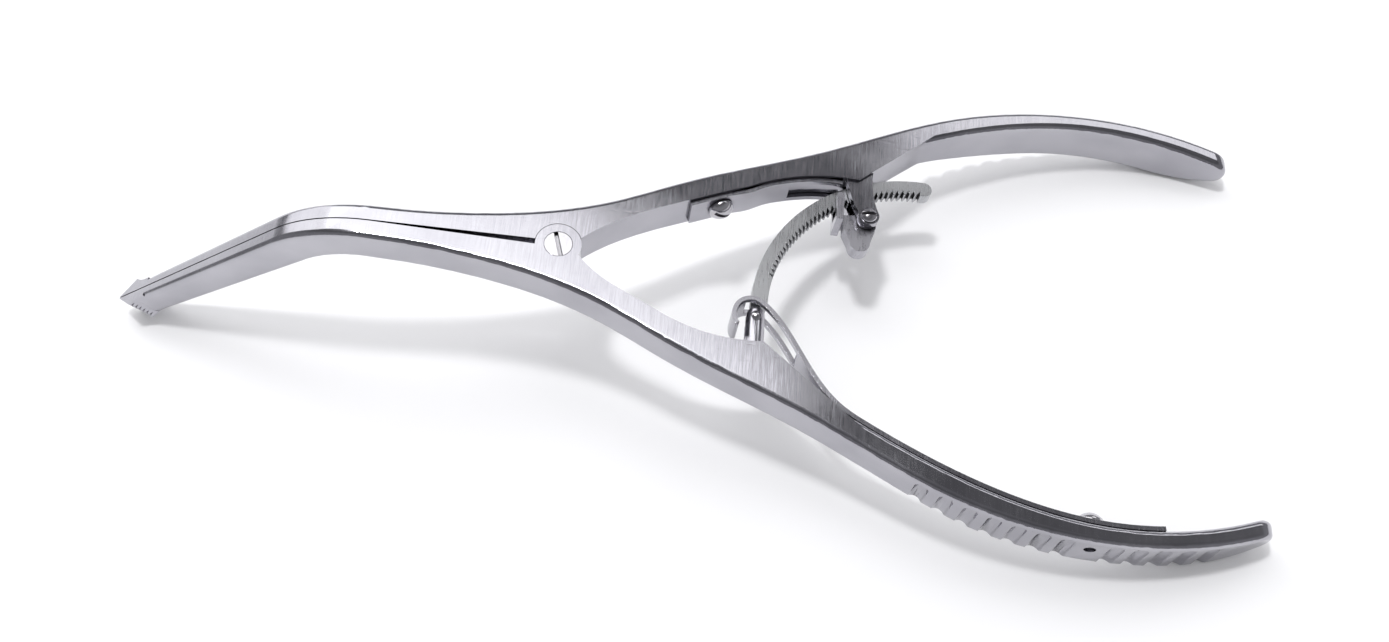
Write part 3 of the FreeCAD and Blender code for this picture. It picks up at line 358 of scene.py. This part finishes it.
def scalloped(piece, side, tree):
    """Take the row of cutters out of an arm."""
    marks = scallop_marks(piece, side)
    mesh = bpy.data.meshes.new("grip_marks")
    mesh.from_pydata([tuple(mark) for mark in marks], [], [])
    cutters = bpy.data.objects.new("grip_cutters", mesh)
    bpy.context.scene.collection.objects.link(cutters)
    row = cutters.modifiers.new("row", "NODES")
    row.node_group = tree
    sizes = {"Radius": SCALLOP_RADIUS, "Length": CUTTER_LENGTH, "Lean": LEAN}
    for item in tree.interface.items_tree:
        if item.name in sizes:
            row[item.identifier] = sizes[item.name]
    applied(cutters, row)
    before = len(piece.data.polygons)
    cut = piece.modifiers.new("grip", "BOOLEAN")
    cut.operation = "DIFFERENCE"
    cut.solver = "EXACT"
    cut.object = cutters
    applied(piece, cut)
    bpy.data.objects.remove(cutters)
    print(piece.name, "scallops", len(marks), "faces", before, "to", len(piece.data.polygons))


# %% [markdown]
# The soft copies are made here, one for each measured piece. A copy rides the rigid
# body that its piece belongs to, so it moves with it at every pose. Larger pieces get
# wider rounds, and small screws and pins only a hint of one. The arms also get their
# grip: the lower arm's outer side faces the reader and the upper arm's faces away.

# %% Soft-edged copies
def body_of(name):
    """The rigid body that a piece belongs to."""
    bodies = frame["record"]["behaviour"]["bodies"]
    return [body for body, members in bodies.items() if name in members][0]


def slot_of(name):
    """The name of the material slot of a piece."""
    return [s["material_slot"] for s in frame["record"]["subparts"] if s["node"] == name][0]


ROUNDING = {
    "lower_arm": 0.35, "upper_arm": 0.35, "pivot_screw": 0.07, "ratchet_post": 0.12,
    "ratchet_hinge_pin": 0.06, "ratchet_bar": 0.10, "catch_lever": 0.14, "catch_screw": 0.06,
    "lower_leaf_spring": 0.12, "upper_leaf_spring": 0.12, "lower_spring_screw": 0.07,
    "upper_spring_screw": 0.07,
}
GRIP_SIDES = {"lower_arm": -1, "upper_arm": 1}
grip_tree = cutter_tree(STEELS["arm_steel"])
for name, width in ROUNDING.items():
    piece = cleaned_copy(name)
    bevelled(piece, width * MM)
    if name in GRIP_SIDES:
        scalloped(piece, GRIP_SIDES[name], grip_tree)
    level_normals(piece)
    piece.data.materials.clear()
    piece.data.materials.append(STEELS[slot_of(name)])
    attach(piece, body_of(name))
    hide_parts(name)
    print(name, len(piece.data.polygons), "faces")


# %% [markdown]
# The photograph was taken from the near side and well above, so the camera stands
# there too. Its place and turn were worked out from the outline of the tool.

# %% Camera
camera_data = bpy.data.cameras.new("camera")
SENSOR = 36.0
FOCAL_PIXELS, FRAME_PIXELS = 1391.0, 1389.0
camera_data.sensor_width = SENSOR
camera_data.lens = FOCAL_PIXELS / FRAME_PIXELS * SENSOR
camera_data.clip_start = 10 * MM
camera = bpy.data.objects.new("camera", camera_data)
camera.location = (0.032203, -0.127294, 0.231948)
camera.rotation_euler = [math.radians(a) for a in (29.38862, 3.89845, 4.5486)]
bpy.context.scene.collection.objects.link(camera)
bpy.context.scene.camera = camera


# %% [markdown]
# The tool lies on white card. A matt plane catches its shadows, and being nearly white
# it needs no extra light to look like paper.

# %% Floor
floor_mesh = bpy.data.meshes.new("white_card")
HALF = 1.6
floor_mesh.from_pydata(
    [(-HALF, -HALF, 0), (HALF, -HALF, 0), (HALF, HALF, 0), (-HALF, HALF, 0)], [], [(0, 1, 2, 3)]
)
floor = bpy.data.objects.new("white_card", floor_mesh)
bpy.context.scene.collection.objects.link(floor)
card = bpy.data.materials.new("white_card")
card.use_nodes = True
card_shader = card.node_tree.nodes["Principled BSDF"]
card_shader.inputs["Base Color"].default_value = (0.93, 0.93, 0.945, 1)
card_shader.inputs["Roughness"].default_value = 0.7
card_shader.inputs["Specular IOR Level"].default_value = 0.1
floor_mesh.materials.append(card)


# %% [markdown]
# Steel shows the room around it, so the room matters more than the lamps. The card is
# lit by an even pale sky, which only rays that spread light see. Rays mirrored by the
# steel see a darker room instead: dim at the walls, and dimmer still overhead. Panels
# hang in it. The key panel makes the pivot shine, and beyond its edge the steel goes
# dark. A second panel lights the bend of the jaws and a third the bow of the far
# handle. A small lamp overhead draws the firm shadows.

# %% Light
world = bpy.data.worlds.new("studio")
bpy.context.scene.world = world
world.use_nodes = True
sky_tree = world.node_tree
sky = sky_tree.nodes["Background"]
direction = sky_tree.nodes.new("ShaderNodeTexCoord")
height = sky_tree.nodes.new("ShaderNodeSeparateXYZ")
wire(sky_tree, direction, "Generated", height, "Vector")
ramp = sky_tree.nodes.new("ShaderNodeValToRGB")
wire(sky_tree, height, "Z", ramp, "Fac")
ROOM = ((0.0, 0.26), (0.25, 0.28), (0.5, 0.26), (0.8, 0.12), (1.0, 0.2))
steps = ramp.color_ramp.elements
while len(steps) < len(ROOM):
    steps.new(0.5)
for step, (place, level) in zip(steps, ROOM):
    step.position = place
    step.color = (level, level, level * 1.05, 1)
path = sky_tree.nodes.new("ShaderNodeLightPath")
SKY_LEVEL = 0.60
seen = colour_mix(sky_tree, A=(SKY_LEVEL, SKY_LEVEL, SKY_LEVEL * 1.01, 1))
wire(sky_tree, ramp, "Color", seen, "B")
wire(sky_tree, path, "Is Glossy Ray", seen, "Factor")
wire(sky_tree, seen, "Result", sky, "Color")
sky.inputs["Strength"].default_value = 1.0


def panel(name, place, target, size, power, turn=0):
    """A soft rectangular lamp that faces a point, turned about its own axis."""
    lamp_data = bpy.data.lights.new(name, "AREA")
    lamp_data.shape = "RECTANGLE"
    lamp_data.size, lamp_data.size_y = size
    lamp_data.energy = power
    lamp = bpy.data.objects.new(name, lamp_data)
    lamp.location = place
    aim = (Vector(target) - Vector(place)).to_track_quat("-Z", "Y")
    lamp.rotation_euler = (aim @ Quaternion((0, 0, 1), math.radians(turn))).to_euler()
    bpy.context.scene.collection.objects.link(lamp)
    return lamp


panel("key_panel", (-0.156, 0.419, 0.75), (-0.156, 0.419, 0), (0.81, 0.37), 1.9, -30)
panel("bend_panel", (-0.68, 0.62, 0.50), (0, 0, 0), (0.58, 0.70), 2.0)
panel("far_panel", (0.66, 0.80, 0.75), (0.66, 0.80, 0), (0.60, 0.40), 1.2)
panel("top_lamp", (-0.08, 0.10, 0.92), (0, 0, 0), (0.10, 0.10), 3.0)
bpy.context.scene.view_settings.view_transform = "Standard"

# %% Update the scene
bpy.context.view_layer.update()
